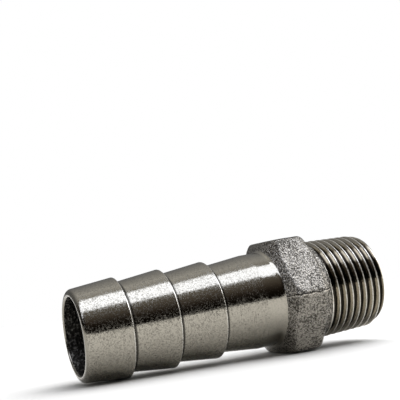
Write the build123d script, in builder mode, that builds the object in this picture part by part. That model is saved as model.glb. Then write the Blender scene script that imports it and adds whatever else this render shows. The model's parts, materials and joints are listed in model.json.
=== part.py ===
from build123d import *

import os
from math import asin, atan2, cos, hypot, radians, sin, tan

# Hose tail: one investment casting with a turned barbed shank for a 16 mm hose, a hexagon
# for a spanner and a 3/8 inch taper pipe thread, with one bore from end to end.
# All sizes are in millimetres. Lengths follow the tail's axis from the hose tip.

# Bore
bore_diameter = 12.2
bore_end_chamfer = 0.4

# Barbed shank
barb_count = 3
barb_pitch = 7.65
first_barb_length = 7.35
barb_diameter = 16.0
barb_root_diameter = 14.3
barb_back_length = 0.4
tip_diameter = 14.5
tip_lip_radius = 0.8

# Lead-in taper and neck behind the last barb
lead_length = 7.05
neck_diameter = 15.8
neck_length = 3.1
neck_fillet_radius = 0.8

# Hexagon, crowned at both ends
hex_across_flats = 19.0
hex_length = 4.75
hex_corner_radius = 1.1
crown_corner_radius = 1.3
crown_border_radius = 0.25
neck_side_crown_angle = 27.0
thread_side_crown_angle = 26.5
hex_sides = 6

# Collar and blank of the taper thread, as far out as the thread's crests
collar_length = 0.7
thread_length = 10.95
thread_end_diameter = 16.26
thread_taper = 1 / 16
thread_chamfer_length = 1.0
thread_chamfer_depth = 0.36

# Radii about the axis
bore_radius = bore_diameter / 2
barb_radius = barb_diameter / 2
root_radius = barb_root_diameter / 2
tip_radius = tip_diameter / 2
neck_radius = neck_diameter / 2
flat_radius = hex_across_flats / 2
corner_radius = flat_radius / cos(radians(180 / hex_sides))
chamfer_top_radius = thread_end_diameter / 2 + thread_chamfer_length * thread_taper / 2
thread_end_radius = chamfer_top_radius - thread_chamfer_depth
collar_radius = thread_end_diameter / 2 + (thread_length + collar_length) * thread_taper / 2

# Stations along the axis
neck_side_slope = tan(radians(neck_side_crown_angle))
thread_side_slope = tan(radians(thread_side_crown_angle))
first_ridge = first_barb_length
last_ridge = first_ridge + barb_pitch * (barb_count - 1)
neck_start = last_ridge + barb_back_length + lead_length
neck_end = neck_start + neck_length
hex_start = neck_end + (corner_radius - neck_radius) * neck_side_slope
hex_end = hex_start + hex_length
collar_start = hex_end + (corner_radius - collar_radius) * thread_side_slope
thread_end = collar_start + collar_length + thread_length

# At rest the tail lies on its first barb and on one flat of the hexagon, tip end low. The
# floor touches the barb's ridge and the flat's rounded border by the neck.
border_setback = crown_border_radius * tan(radians(90 - neck_side_crown_angle) / 2)
border_centre_x = neck_end + (flat_radius - neck_radius) * neck_side_slope + border_setback
border_centre_r = flat_radius - crown_border_radius
run = border_centre_x - first_ridge
rise = border_centre_r - barb_radius
tilt = atan2(rise, run) + asin(crown_border_radius / hypot(run, rise))
tip_height = barb_radius * cos(tilt) - first_ridge * sin(tilt)
low_x = -(tip_radius - tip_lip_radius) * sin(tilt)
high_x = thread_end * cos(tilt) + thread_end_radius * sin(tilt)
middle_x = (low_x + high_x) / 2

along = Vector(cos(tilt), 0, sin(tilt))
tip_centre = Vector(-middle_x, 0, tip_height)
tail_axis = Axis(tip_centre, along)
profile_plane = Plane(origin=tip_centre, x_dir=along, z_dir=(0, -1, 0))
tip_plane = Plane(origin=tip_centre, x_dir=(0, 1, 0), z_dir=along)

# Half outline of the tail: each corner has its station, its radius about the axis and the
# radius that rounds it
outline = [(0, tip_radius, tip_lip_radius)]
for number in range(barb_count):
    ridge = first_ridge + barb_pitch * number
    outline.append((ridge, barb_radius, 0))
    outline.append((ridge + barb_back_length, root_radius, 0))
outline.append((neck_start, neck_radius, 0))
outline.append((neck_end, neck_radius, neck_fillet_radius))
outline.append((hex_start, corner_radius, crown_corner_radius))
outline.append((hex_end, corner_radius, crown_corner_radius))
outline.append((collar_start, collar_radius, 0))
outline.append((thread_end - thread_chamfer_length, chamfer_top_radius, 0))
outline.append((thread_end, thread_end_radius, 0))

with BuildPart() as hose_tail:
    # Everything round, as one turned body
    with BuildSketch(profile_plane):
        with BuildLine():
            FilletPolyline(
                (0, 0),
                *[(station, radius) for station, radius, rounding in outline],
                (thread_end, 0),
                radius=[rounding for station, radius, rounding in outline],
            )
            Line((thread_end, 0), (0, 0))
        make_face()
    revolve(axis=tail_axis)

    # Six flats with round corners, cut by keeping what lies inside a hexagonal bar
    with BuildSketch(tip_plane) as bar_section:
        RegularPolygon(flat_radius, hex_sides, major_radius=False)
        fillet(bar_section.vertices(), hex_corner_radius)
    extrude(amount=thread_end, mode=Mode.INTERSECT)

    # Soft cast borders round the flats
    flat_borders = hose_tail.edges().filter_by(GeomType.HYPERBOLA)
    fillet(flat_borders, crown_border_radius)

    # Bore, with its thread end broken
    with BuildSketch(tip_plane):
        Circle(bore_radius)
    extrude(amount=thread_end, mode=Mode.SUBTRACT)
    end_circles = hose_tail.edges().filter_by(GeomType.CIRCLE).group_by(tail_axis)[-1]
    chamfer(end_circles.sort_by(SortBy.RADIUS)[0], bore_end_chamfer)

hose_tail.part.label = "hose_tail"
os.makedirs("parts", exist_ok=True)
export_step(hose_tail.part, "parts/hose_tail.step")
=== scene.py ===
import json
from math import atan2, cos, hypot, pi, radians, sin, sqrt, tan

import bmesh
import bpy
from mathutils import Matrix, Vector, noise


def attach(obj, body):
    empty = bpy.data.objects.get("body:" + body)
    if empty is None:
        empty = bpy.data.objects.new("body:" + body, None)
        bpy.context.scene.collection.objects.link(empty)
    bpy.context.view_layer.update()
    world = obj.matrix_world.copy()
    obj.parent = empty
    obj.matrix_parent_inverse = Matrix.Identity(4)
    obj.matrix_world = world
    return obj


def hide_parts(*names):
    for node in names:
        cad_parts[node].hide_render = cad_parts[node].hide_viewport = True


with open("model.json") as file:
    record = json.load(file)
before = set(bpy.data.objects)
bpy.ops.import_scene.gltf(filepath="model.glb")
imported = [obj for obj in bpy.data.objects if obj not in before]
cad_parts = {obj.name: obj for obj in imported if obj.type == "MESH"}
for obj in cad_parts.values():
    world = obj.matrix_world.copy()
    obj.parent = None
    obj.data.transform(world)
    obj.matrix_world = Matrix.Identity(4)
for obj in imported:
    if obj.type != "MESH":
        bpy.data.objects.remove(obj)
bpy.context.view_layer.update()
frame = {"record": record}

milli = 0.001
scene = bpy.context.scene

# Where the tail lies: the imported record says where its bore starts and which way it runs, and
# the mesh is shaped along x in millimetres, then laid down there
mounts = {mount["name"]: mount for mount in frame["record"]["mounts"]}
boreMount, threadFace = mounts["bore"], mounts["thread_face"]
alongTail = -Vector(boreMount["axis"])
tipPlace = Vector(boreMount["pos_m"]) - alongTail * boreMount["dims"]["length_mm"] * milli / 2
tilt = atan2(alongTail.z, alongTail.x)
threadEnd = (Vector(threadFace["pos_m"]) - tipPlace).dot(alongTail) / milli
layDown = (Matrix.Translation(tipPlace) @ Matrix.Rotation(-tilt, 4, "Y")
           @ Matrix.Diagonal((milli, milli, milli, 1)))


# A bent wire in the plane through the tail's axis, with its corners rounded
def bendWire(shape, corners, longest):
    made = [shape.verts.new((station, 0, radius)) for station, radius, rounding in corners]
    for first, second in zip(made, made[1:]):
        shape.edges.new((first, second))
    for number, vert in enumerate(made[1:-1], 1):
        before, (_, _, rounding), after = corners[number - 1:number + 2]
        if rounding:
            here = vert.co
            there = [Vector((p[0], 0, p[1])) - here for p in (before, after)]
            turn = pi - there[0].angle(there[1])
            bmesh.ops.bevel(shape, geom=[vert], offset=rounding * tan(turn / 2),
                            offset_type="OFFSET", segments=3 if rounding < 0.25 else 8, profile=0.5,
                            affect="VERTICES", material=-1)
    for edge in shape.edges[:]:
        cuts = int(edge.calc_length() / longest(edge))
        if cuts:
            bmesh.ops.subdivide_edges(shape, edges=[edge], cuts=cuts)


# The turned body, from the thread end's inner edge through the bore and round the tip to the collar
tail = {
    "around": 240,
    "boreRadius": 6.1,
    "boreChamfer": 0.4,
    "rimRounding": 0.3,
    "tipRadius": 7.245,
    "tipRounding": 0.8,
    "barbs": 3,
    "pitch": 7.65,
    "firstRidge": 7.37,
    "land": 0.1,
    "back": 0.36,
    "barbRadius": 7.994,
    "rootRadius": 7.14,
    "ridgeRounding": 0.18,
    "footRounding": 0.12,
    "neckStart": 30.1,
    "neckEnd": 33.2,
    "neckRadius": 7.9,
    "longestEdge": {"bore": 2.0, "shank": 0.4, "hexagon": 0.12},
    "mergeWithin": 0.001,
}
hexagon = {
    "flatRadius": 9.5,
    "cornerRounding": 1.1,
    "crownRadius": 10.92,
    "crownStart": 34.74,
    "crownEnd": 39.75,
    "crownEndRadius": 10.66,
    "crownRounding": 1.3,
    "neckFillet": 0.8,
    "collarFillet": 0.9,
    "collarStart": 40.7,
    "collarEnd": 41.62,
    "collarRadius": 8.44,
    "neckSideFacets": 0.2,
    "threadSideFacets": 0.6,
    "blend": 0.16,
    "facetsFrom": (0.4, 1.8),
    "waviness": 0.03,
    "wavesFrom": (0.1, 0.6),
    "waveScales": (0.55, 1.3),
}
thread = {
    "pitch": 1.337,
    "firstCrest": 42.75,
    "endRadius": 8.06,
    "taper": 1 / 32,
    "depth": 0.78,
    "flankAngle": 27.5,
    "crestFlat": 0.1,
    "rounding": 0.04,
    "around": 144,
    "turns": 11,
    "startTurn": -2,
    "vanishSlope": 1.5,
    "chamferRadius": 7.76,
    "chamferSlope": 0.38,
    "longestEdge": 0.28,
    "mergeWithin": 0.01,
    "joinWithin": 0.0005,
}


def longestPiece(edge):
    station = (edge.verts[0].co.x + edge.verts[1].co.x) / 2
    radius = (edge.verts[0].co.z + edge.verts[1].co.z) / 2
    if radius < tail["boreRadius"] + 0.05:
        return tail["longestEdge"]["bore"]
    return tail["longestEdge"]["hexagon" if station > tail["neckEnd"] - 0.3 else "shank"]


# Half the tail's outline, from the thread end through the bore and round the tip to the collar
def tailWire(shape):
    corners = [
        (threadEnd, tail["boreRadius"] + tail["boreChamfer"], 0),
        (threadEnd - tail["boreChamfer"], tail["boreRadius"], 0),
        (0, tail["boreRadius"], tail["rimRounding"]),
        (0, tail["tipRadius"], tail["tipRounding"]),
    ]
    for number in range(tail["barbs"]):
        ridge = tail["firstRidge"] + tail["pitch"] * number
        corners += [
            (ridge - tail["land"], tail["barbRadius"], tail["ridgeRounding"]),
            (ridge, tail["barbRadius"], tail["ridgeRounding"]),
            (ridge + tail["back"], tail["rootRadius"], tail["footRounding"]),
        ]
    corners += [
        (tail["neckStart"], tail["neckRadius"], tail["ridgeRounding"]),
        (tail["neckEnd"], tail["neckRadius"], hexagon["neckFillet"]),
        (hexagon["crownStart"], hexagon["crownRadius"], hexagon["crownRounding"]),
        (hexagon["crownEnd"], hexagon["crownEndRadius"], hexagon["crownRounding"]),
        (hexagon["collarStart"], hexagon["collarRadius"], hexagon["collarFillet"]),
        (hexagon["collarEnd"], hexagon["collarRadius"], 0),
    ]
    bendWire(shape, corners, longestPiece)


# The spanner hexagon is drawn in from the round crown: flats with round corners, and a
# crown that is part cone, part pyramid
def barRadius(angle):
    fromFlat = abs((angle + pi / 6) % (pi / 3) - pi / 6)
    corner = (hexagon["flatRadius"] - hexagon["cornerRounding"]) / cos(pi / 6)
    flatEnd = atan2(corner * sin(pi / 6), hexagon["flatRadius"])
    if fromFlat < flatEnd:
        return hexagon["flatRadius"] / cos(fromFlat)
    fromCorner = pi / 6 - fromFlat
    return corner * cos(fromCorner) + sqrt(hexagon["cornerRounding"] ** 2
                                           - (corner * sin(fromCorner)) ** 2)


# The smaller of two radii, blended softly where they meet
def lesser(a, b, soft):
    share = min(max(0.5 + 0.5 * (b - a) / soft, 0), 1)
    return b + (a - b) * share - soft * share * (1 - share)


# 0 up to the first of two heights above the neck and 1 from the second on
def risen(radius, heights):
    return min(max((radius - tail["neckRadius"] - heights[0]) / (heights[1] - heights[0]), 0), 1)


def drawHexagon(shape):
    widest = barRadius(pi / 6)
    middle = (hexagon["crownStart"] + hexagon["crownEnd"]) / 2
    for vert in shape.verts:
        station, radius = vert.co.x, hypot(vert.co.y, vert.co.z)
        if station < tail["neckEnd"] - 0.5 or radius < tail["rootRadius"]:
            continue
        angle = atan2(vert.co.y, vert.co.z)
        facets = hexagon["neckSideFacets" if station < middle else "threadSideFacets"]
        faceted = facets * risen(radius, hexagon["facetsFrom"])
        crown = radius * (1 - faceted * (1 - barRadius(angle) / widest))
        drawn = lesser(crown, barRadius(angle), hexagon["blend"])
        coarse, fine = (noise.noise(vert.co * scale) for scale in hexagon["waveScales"])
        wave = 0.75 + 0.5 * (coarse + 0.5 * fine)
        drawn -= hexagon["waviness"] * risen(radius, hexagon["wavesFrom"]) * wave
        vert.co.y *= drawn / radius
        vert.co.z *= drawn / radius


# The thread is one turn's outline, wound along the axis, then drawn in to the taper, run
# out into the collar and chamfered at the end
def windThread(shape):
    flank = thread["depth"] * tan(radians(thread["flankAngle"]))
    crest, foot = thread["crestFlat"] / 2, thread["crestFlat"] / 2 + flank
    start = thread["firstCrest"] + thread["startTurn"] * thread["pitch"]
    top, root = thread["endRadius"], thread["endRadius"] - thread["depth"]
    outline = [(-thread["pitch"] / 2, root, 0), (-foot, root, thread["rounding"] * 3),
               (-crest, top, thread["rounding"]), (crest, top, thread["rounding"]),
               (foot, root, thread["rounding"] * 3), (thread["pitch"] / 2, root, 0)]
    bendWire(shape, [(start + x, radius, rounding) for x, radius, rounding in outline],
             lambda edge: thread["longestEdge"])
    bmesh.ops.spin(shape, geom=shape.verts[:] + shape.edges[:], cent=(0, 0, 0), axis=(1, 0, 0),
                   dvec=(thread["pitch"] / thread["around"], 0, 0),
                   angle=2 * pi, steps=thread["around"], use_merge=False)
    turn = shape.verts[:] + shape.edges[:] + shape.faces[:]
    for number in range(1, thread["turns"]):
        copy = bmesh.ops.duplicate(shape, geom=turn)["geom"]
        bmesh.ops.translate(shape, vec=(thread["pitch"] * number, 0, 0),
                            verts=[part for part in copy if isinstance(part, bmesh.types.BMVert)])
    bmesh.ops.remove_doubles(shape, verts=shape.verts, dist=thread["mergeWithin"])
    for vert in shape.verts:
        station, radius = vert.co.x, hypot(vert.co.y, vert.co.z)
        fromEnd = threadEnd - station
        drawn = radius + thread["taper"] * fromEnd
        drawn = max(drawn, hexagon["collarRadius"]
                    - (station - hexagon["collarEnd"]) * thread["vanishSlope"])
        drawn = min(drawn, thread["chamferRadius"] + thread["chamferSlope"] * fromEnd)
        vert.co.y *= drawn / radius
        vert.co.z *= drawn / radius
    for place, way in ((hexagon["collarEnd"], -1), (threadEnd, 1)):
        bmesh.ops.bisect_plane(shape, geom=shape.verts[:] + shape.edges[:] + shape.faces[:],
                               dist=0.0001, plane_co=(place, 0, 0), plane_no=(way, 0, 0),
                               clear_outer=True)


# The open edges at one station, whose radii are within reach
def loopAt(shape, station, reach):
    return [e for e in shape.edges if e.is_boundary
            and all(abs(v.co.x - station) < 0.001
                    and reach[0] < hypot(v.co.y, v.co.z) < reach[1] for v in e.verts)]


finishes = ["satin", "cast", "thread", "bore"]  # in the order of the tail's materials


# Turned, cast, threaded or bored, by where a face is; the thread's end face is turned
def finishOf(spot):
    radius, near = hypot(spot.y, spot.z), 0.02
    if radius < tail["boreRadius"] + near:
        return "bore"
    if spot.x > threadEnd - near or radius < tail["boreRadius"] + tail["boreChamfer"]:
        return "satin"
    if spot.x > hexagon["collarEnd"] + near:
        return "thread"
    return "cast" if spot.x > tail["neckEnd"] + 0.1 else "satin"


def makeTail():
    wound = bmesh.new()
    windThread(wound)
    spare = bpy.data.meshes.new("spare")
    wound.to_mesh(spare)
    wound.free()

    shape = bmesh.new()
    tailWire(shape)
    bmesh.ops.spin(shape, geom=shape.verts[:] + shape.edges[:], cent=(0, 0, 0), axis=(1, 0, 0),
                   dvec=(0, 0, 0), angle=2 * pi, steps=tail["around"], use_merge=True)
    bmesh.ops.remove_doubles(shape, verts=shape.verts, dist=tail["mergeWithin"])
    drawHexagon(shape)
    shape.from_mesh(spare)
    bpy.data.meshes.remove(spare)
    bmesh.ops.remove_doubles(shape, verts=shape.verts, dist=thread["joinWithin"])
    outside = 9
    collar = loopAt(shape, hexagon["collarEnd"], (8, outside))
    end = loopAt(shape, threadEnd, (tail["boreRadius"] + 0.3, outside))
    bmesh.ops.bridge_loops(shape, edges=collar)
    bmesh.ops.triangle_fill(shape, edges=end, use_beauty=True, normal=(1, 0, 0))
    bmesh.ops.recalc_face_normals(shape, faces=shape.faces)
    print("open edges", len([e for e in shape.edges if not e.is_manifold]), "faces", len(shape.faces))

    for face in shape.faces:
        face.smooth = True
        face.material_index = finishes.index(finishOf(face.calc_center_median()))
    bmesh.ops.transform(shape, matrix=layDown, verts=shape.verts)
    mesh = bpy.data.meshes.new("hoseTail")
    shape.to_mesh(mesh)
    shape.free()
    mesh.set_sharp_from_angle(angle=radians(40))
    piece = bpy.data.objects.new("hoseTail", mesh)
    scene.collection.objects.link(piece)
    return piece


hoseTail = makeTail()
print("tail made:", len(hoseTail.data.polygons), "faces")


# A node's output that works in sums
class Wire:
    def __init__(self, bench, socket):
        self.bench, self.socket = bench, socket

    def maths(self, operation, *values):
        return self.bench.node("ShaderNodeMath", {"operation": operation},
                               dict(enumerate(values)))

    def __add__(self, other):
        return self.maths("ADD", self, other)

    def __sub__(self, other):
        return self.maths("SUBTRACT", self, other)

    def __rsub__(self, other):
        return self.maths("SUBTRACT", other, self)

    def __mul__(self, other):
        return self.maths("MULTIPLY", self, other)

    def __truediv__(self, other):
        return self.maths("DIVIDE", self, other)

    __radd__, __rmul__ = __add__, __mul__

    def within(self, low, high):
        # 0 below low and 1 above high, with a soft step between
        return self.bench.node("ShaderNodeMapRange", {"interpolation_type": "SMOOTHSTEP"},
                               {"Value": self, "From Min": low, "From Max": high})

    def near(self, reach):
        # 1 around nought, fading out by reach either side
        return self.maths("ABSOLUTE", self).within(reach, reach * 0.3)


# One material's or world's node tree
class Bench:
    def __init__(self, owner):
        owner.use_nodes = True
        self.owner, self.tree = owner, owner.node_tree
        self.tree.nodes.clear()

    def node(self, kind, settings, sockets, output=0):
        made = self.tree.nodes.new(kind)
        for name, value in settings.items():
            if name == "stops":
                ramp = made.color_ramp
                while len(ramp.elements) < len(value):
                    ramp.elements.new(1)
                for element, (place, colour) in zip(ramp.elements, value):
                    element.position, element.color = place, (*colour, 1)
            else:
                setattr(made, name, value)
        for name, value in sockets.items():
            if isinstance(value, Wire):
                self.tree.links.new(value.socket, made.inputs[name])
            else:
                made.inputs[name].default_value = value
        return Wire(self, made.outputs[output]) if len(made.outputs) else None

    def mix(self, share, first, second):
        colours = [v if isinstance(v, Wire) else (*v, 1) for v in (first, second)]
        return self.node("ShaderNodeMix", {"data_type": "RGBA"},
                         {0: share, 6: colours[0], 7: colours[1]}, 2)

    def grain(self, vector, size, detail=2.0, roughness=0.5, distortion=0.0):
        return self.node("ShaderNodeTexNoise", {}, {
            "Vector": vector, "Scale": 1 / size, "Detail": detail, "Roughness": roughness,
            "Distortion": distortion})

    def part(self, vector, axis):
        return self.node("ShaderNodeSeparateXYZ", {}, {"Vector": vector}, axis)

    def metal(self, colour, rough, bump):
        shader = self.node("ShaderNodeBsdfPrincipled", {}, {
            "Base Color": colour, "Metallic": 1.0, "Roughness": rough, "Normal": bump})
        self.node("ShaderNodeOutputMaterial", {}, {"Surface": shader})
        return self.owner

    def stretch(self, vector, scale):
        return self.node("ShaderNodeVectorMath", {"operation": "MULTIPLY"},
                         {0: vector, 1: scale})


# The tail's own place for a pattern, in millimetres, with x along the axis from the tip
def tailPlace(bench):
    place = bench.node("ShaderNodeTexCoord", {}, {}, "Object")
    turned = Matrix.Rotation(tilt, 3, "Y") @ tipPlace
    enlarged = 1 / milli
    return bench.node("ShaderNodeMapping", {"vector_type": "POINT"}, {
        "Vector": place, "Location": turned * -enlarged, "Rotation": (0, tilt, 0),
        "Scale": (enlarged, enlarged, enlarged)})


def tinted(colour, tint):
    return [channel * tint for channel in colour]


satin = {
    "colour": (0.385, 0.358, 0.3),
    "markTint": 0.62,
    "markSize": 0.24,
    "smooth": 0.06,
    "marked": 0.29,
    "lineSize": 0.09,
    "bump": 0.008,
    # painted shade: the dark line in the corner behind each ridge
    "cornerShadeTint": 0.16,
    "cornerShadeReach": 0.34,
    # painted highlight: the bright line along each ridge
    "edgeHighlight": (0.78, 0.75, 0.69),
    "highlightReach": 0.16,
    "highlightGrainSize": 0.5,
    "patchSize": 3.5,
    "spread": (0.43, 0.64),
    "leadFrom": (23.2, 24),
    "leadTo": (29.9, 30.2),
    "neckFrom": (30.0, 30.3),
    "neckShare": 0.4,
    # painted shade on the tip's rim
    "rimShadeTint": 0.72,
    "rimEnd": (0.15, 0.4),
}


# Turned metal: nearly a mirror, with small matt marks and faint lines round the axis; painted shade
# in the corner behind each ridge and on the tip's rim, and a painted highlight along each ridge
def satinSteel():
    bench = Bench(bpy.data.materials.new("satinSteel"))
    place = tailPlace(bench)
    along = bench.part(place, 0)
    marks = bench.grain(place, satin["markSize"], 2, 0.6, 0.8)
    lines = bench.grain(bench.stretch(place, (1 / satin["lineSize"], 0.9, 0.9)), 1, 2)
    onLead = along.within(*satin["leadFrom"]) * (1 - along.within(*satin["leadTo"]))
    onNeck = along.within(*satin["neckFrom"])
    field = marks * (1 - 0.35 * onLead) + lines * (0.1 + 0.35 * onLead) - 0.05
    marked = field.within(*satin["spread"]) * (1 - (1 - satin["neckShare"]) * onNeck)
    patches = bench.grain(place, satin["patchSize"], 3)
    rough = satin["smooth"] + satin["marked"] * marked * patches.within(0.0, 0.45)
    corner, edge = 0, 0
    # Painted shade: a dark line in the corner behind each ridge, where its back wall meets the next
    # root
    for number in range(tail["barbs"]):
        ridge = tail["firstRidge"] + tail["pitch"] * number
        corner += (along - ridge - tail["back"] - 0.1).near(satin["cornerShadeReach"])
        edge += (along - ridge).near(satin["highlightReach"])
    # Painted highlight: a bright line along each ridge, broken up by grain
    edge = edge * bench.grain(place, satin["highlightGrainSize"], 2).within(0.3, 0.5)
    colour = bench.mix(marked, satin["colour"], tinted(satin["colour"], satin["markTint"]))
    colour = bench.mix(corner, colour, tinted(satin["colour"], satin["cornerShadeTint"]))
    colour = bench.mix(edge, colour, satin["edgeHighlight"])
    # Painted shade: the tip's rim is darker
    rim = 1 - along.within(*satin["rimEnd"])
    colour = bench.mix(rim, colour, tinted(satin["colour"], satin["rimShadeTint"]))
    bump = bench.node("ShaderNodeBump", {}, {
        "Height": (marks + lines * 0.5) * satin["bump"], "Distance": milli, "Strength": 1.0})
    return bench.metal(colour, rough, bump)


cast = {
    "dark": (0.055, 0.05, 0.041),
    "light": (0.38, 0.353, 0.306),
    "grainSize": 0.27,
    "spread": (0.40, 0.58),
    "patchSize": 2.5,
    "patchShare": 0.2,
    "roughness": 0.25,
    "bump": 0.18,
    "wander": 0.06,
    "wanderSize": 1.5,
    # the width of the painted highlight and painted shade lines at each corner of the hexagon
    "cornerLineReach": 0.12,
    "shadeLinePlace": 0.05,
    "shadeLineTint": 0.35,
    "highlightPlace": -0.16,
    "highlightTint": 1.5,
}


# Cast and blasted metal: coarse bright grains with dark pits, and at each corner of the hexagon
# a painted highlight just before it and painted shade just past it
def castSteel():
    bench = Bench(bpy.data.materials.new("castSteel"))
    place = tailPlace(bench)
    grains = bench.grain(place, cast["grainSize"], 2, 0.6, 0.5)
    patches = bench.grain(place, cast["patchSize"], 3)
    field = grains * (1 - cast["patchShare"]) + patches * cast["patchShare"]
    colour = bench.mix(field.within(*cast["spread"]), cast["dark"], cast["light"])
    side, rise = bench.part(place, 1), bench.part(place, 2)
    # How far a spot is from the nearest corner of the hexagon, round the tail, in millimetres
    wander = (bench.grain(place, cast["wanderSize"]) - 0.5) * cast["wander"]
    turn = side.maths("ARCTAN2", side, rise) / (pi / 3) + 0.5 + wander
    fromCorner = (turn - turn.maths("ROUND", turn)) * (hexagon["crownRadius"] * pi / 3)
    # Painted highlight in a band just before each corner, broken up by grain, and painted shade in a
    # dark line just past it
    edgeHighlight = (fromCorner - cast["highlightPlace"]).near(cast["cornerLineReach"])
    shadeLine = (fromCorner - cast["shadeLinePlace"]).near(cast["cornerLineReach"])
    colour = bench.mix(shadeLine, colour, tinted(cast["dark"], cast["shadeLineTint"]))
    colour = bench.mix(edgeHighlight * grains.within(0.35, 0.5), colour, tinted(cast["light"], cast["highlightTint"]))
    bump = bench.node("ShaderNodeBump", {}, {
        "Height": grains * cast["bump"], "Distance": milli, "Strength": 1.0})
    return bench.metal(colour, cast["roughness"], bump)


cut = {
    "groove": (0.46, 0.423, 0.355),
    # painted shade towards the groove's foot
    "foot": (0.02, 0.017, 0.013),
    "footShadeDepth": (0.38, 0.64),
    # painted highlight in specks on the crests
    "crest": (0.78, 0.75, 0.68),
    "grooveRoughness": 0.1,
    "crestRoughness": 0.33,
    "crestDepth": (0.03, 0.13),
    "speckSize": 0.25,
    "spread": (0.3, 0.55),
    "bump": 0.01,
}


# Cut thread: bright flanks with painted shade towards the groove's foot, and crests painted brighter
# still in specks, a painted highlight
def threadSteel():
    bench = Bench(bpy.data.materials.new("threadSteel"))
    place = tailPlace(bench)
    along, side, rise = (bench.part(place, axis) for axis in range(3))
    squared = side * side + rise * rise
    radius = squared.maths("SQRT", squared)
    depth = thread["endRadius"] + thread["taper"] * (threadEnd - along) - radius
    crest = 1 - depth.within(*cut["crestDepth"])
    specks = bench.grain(place, cut["speckSize"], 2)
    # Painted shade darkening the flanks towards the groove's foot, then a painted highlight in specks
    # on the crests
    colour = bench.mix(depth.within(*cut["footShadeDepth"]), cut["groove"], cut["foot"])
    colour = bench.mix(crest * specks.within(*cut["spread"]), colour, cut["crest"])
    rough = cut["grooveRoughness"] + (cut["crestRoughness"] - cut["grooveRoughness"]) * crest
    bump = bench.node("ShaderNodeBump", {}, {
        "Height": specks * cut["bump"], "Distance": milli, "Strength": 1.0})
    return bench.metal(colour, rough, bump)


hollow = {
    # grains painted darker than the cast metal outside: painted shade in the bore
    "dark": (0.03, 0.028, 0.024),
    "light": (0.2, 0.19, 0.17),
    "grainSize": 0.42,
    "spread": (0.48, 0.68),
    "roughness": 0.45,
    "bump": 0.2,
}


# Left rough inside, with grains painted darker than the cast metal outside: painted shade in the bore
def boreSteel():
    bench = Bench(bpy.data.materials.new("boreSteel"))
    place = tailPlace(bench)
    grains = bench.grain(place, hollow["grainSize"], 2)
    colour = bench.mix(grains.within(*hollow["spread"]), hollow["dark"], hollow["light"])
    bump = bench.node("ShaderNodeBump", {}, {
        "Height": grains * hollow["bump"], "Distance": milli, "Strength": 1.0})
    return bench.metal(colour, hollow["roughness"], bump)


for finish in (satinSteel(), castSteel(), threadSteel(), boreSteel()):
    hoseTail.data.materials.append(finish)
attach(hoseTail, "root")
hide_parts("hose_tail")
print("finishes made")


studio = {
    "floorSize": 0.6,
    "floorColour": (0.8, 0.8, 0.8),
}
# Each light's bearing and height are in degrees as seen from the tail, its sizes in metres
cards = {
    "strip": {"towards": (-90, 72.5), "away": 0.5, "size": (2.0, 0.277), "radiance": 2.65,
              "colour": (0.92, 1, 1.2), "inReflections": True},
    "rightCard": {"towards": (-8, 26), "away": 0.5, "size": (0.3, 0.5), "radiance": 2.6,
                  "colour": (1, 1, 1), "inReflections": True},
    "fill": {"towards": (0, 66), "away": 1.1, "size": (1.8, 1.2), "radiance": 3.5,
             "colour": (1, 1, 1), "inReflections": False},
    "fromBehind": {"towards": (80, 30), "away": 1.2, "size": (2.4, 0.8), "radiance": 1.0,
                   "colour": (1, 1, 1), "inReflections": False},
}


def makeFloor():
    shape = bmesh.new()
    bmesh.ops.create_circle(shape, cap_ends=True, segments=96, radius=studio["floorSize"])
    mesh = bpy.data.meshes.new("floor")
    shape.to_mesh(mesh)
    shape.free()
    floor = bpy.data.objects.new("floor", mesh)
    scene.collection.objects.link(floor)
    bench = Bench(bpy.data.materials.new("paleFloor"))
    shader = bench.node("ShaderNodeBsdfDiffuse", {}, {"Color": (*studio["floorColour"], 1)})
    bench.node("ShaderNodeOutputMaterial", {}, {"Surface": shader})
    mesh.materials.append(bench.owner)


# A card shows in reflections or lights matt surfaces, not both
def softLight(name, card):
    light = bpy.data.lights.new(name, "AREA")
    light.shape = "RECTANGLE"
    light.size, light.size_y = card["size"]
    light.energy = card["radiance"] * pi * card["size"][0] * card["size"][1]
    light.color = card["colour"]
    lamp = bpy.data.objects.new(name, light)
    scene.collection.objects.link(lamp)
    turn, lift = (radians(angle) for angle in card["towards"])
    lamp.location = (cos(turn) * cos(lift) * card["away"], sin(turn) * cos(lift) * card["away"],
                     sin(lift) * card["away"])
    lamp.rotation_euler = (pi / 2 - lift, 0, turn + pi / 2)
    lamp.visible_camera = False
    lamp.visible_glossy = card["inReflections"]
    lamp.visible_diffuse = not card["inReflections"]


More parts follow.
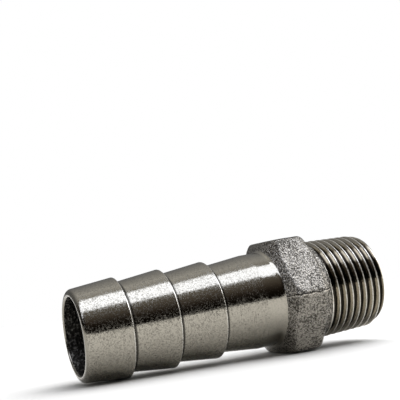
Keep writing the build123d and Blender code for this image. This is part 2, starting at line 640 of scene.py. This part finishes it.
# What surrounds the tail: colours from the horizon up, for the dark room on the near side and
# for the pale wall behind, and how far across each reaches
surroundings = {
    "room": [(0.0, (0.003, 0.002, 0.001)), (0.2, (0.008, 0.006, 0.004)), (0.35, (0.024, 0.018, 0.014)),
             (0.5, (0.08, 0.065, 0.052)), (0.65, (0.15, 0.13, 0.11)), (0.8, (0.24, 0.225, 0.2)),
             (1.0, (0.5, 0.49, 0.47))],
    "wall": [(0.0, (0.15, 0.15, 0.15)), (0.34, (0.2, 0.2, 0.2)), (0.64, (0.36, 0.36, 0.36)),
             (0.87, (0.6, 0.6, 0.6)), (0.97, (0.85, 0.85, 0.85)), (1.0, (0.85, 0.85, 0.85))],
    "wallFrom": (0.0, 0.35),
    "roomOnLeft": (0.72, 0.9),
    "belowHorizon": (0.9, 0.9, 0.9),
    "onMattSurfaces": (0.2, 0.2, 0.2),
    "backdrop": (1, 1, 1),
}


def makeSurroundings():
    world = bpy.data.worlds.new("studio")
    scene.world = world
    bench = Bench(world)
    way = bench.node("ShaderNodeTexCoord", {}, {}, "Generated")
    right, behind, up = (bench.part(way, axis) for axis in range(3))
    room, wall = (bench.node("ShaderNodeValToRGB", {"stops": surroundings[side]}, {"Fac": up})
                  for side in ("room", "wall"))
    onLeft = (right * -1).within(*surroundings["roomOnLeft"])
    above = bench.mix(behind.within(*surroundings["wallFrom"]) * (1 - onLeft), room, wall)
    seen = bench.mix(up.within(-0.001, 0.001), surroundings["belowHorizon"], above)
    onMatt = bench.node("ShaderNodeLightPath", {}, {}, "Is Diffuse Ray")
    seen = bench.mix(onMatt, seen, surroundings["onMattSurfaces"])
    byCamera = bench.node("ShaderNodeLightPath", {}, {}, "Is Camera Ray")
    seen = bench.mix(byCamera, seen, surroundings["backdrop"])
    light = bench.node("ShaderNodeBackground", {}, {"Color": seen, "Strength": 1.0})
    bench.node("ShaderNodeOutputWorld", {}, {"Surface": light})


# The camera's place from the tip in metres, its turn in degrees and its lens in millimetres
lens = {
    "fromTip": (-0.0283810, -0.1245846, 0.0047587),
    "turn": (96.30785, 7.10395, -21.94407),
    "length": 72.8447,
    "clip": (0.01, 20),
}


def makeCamera():
    camera = bpy.data.objects.new("camera", bpy.data.cameras.new("camera"))
    scene.collection.objects.link(camera)
    camera.location = tipPlace + Vector(lens["fromTip"])
    camera.rotation_euler = [radians(angle) for angle in lens["turn"]]
    camera.data.lens = lens["length"]
    camera.data.clip_start, camera.data.clip_end = lens["clip"]
    scene.camera = camera


makeFloor()
for name, card in cards.items():
    softLight(name, card)
makeSurroundings()
makeCamera()
scene.view_settings.view_transform = "Standard"
print("studio made")
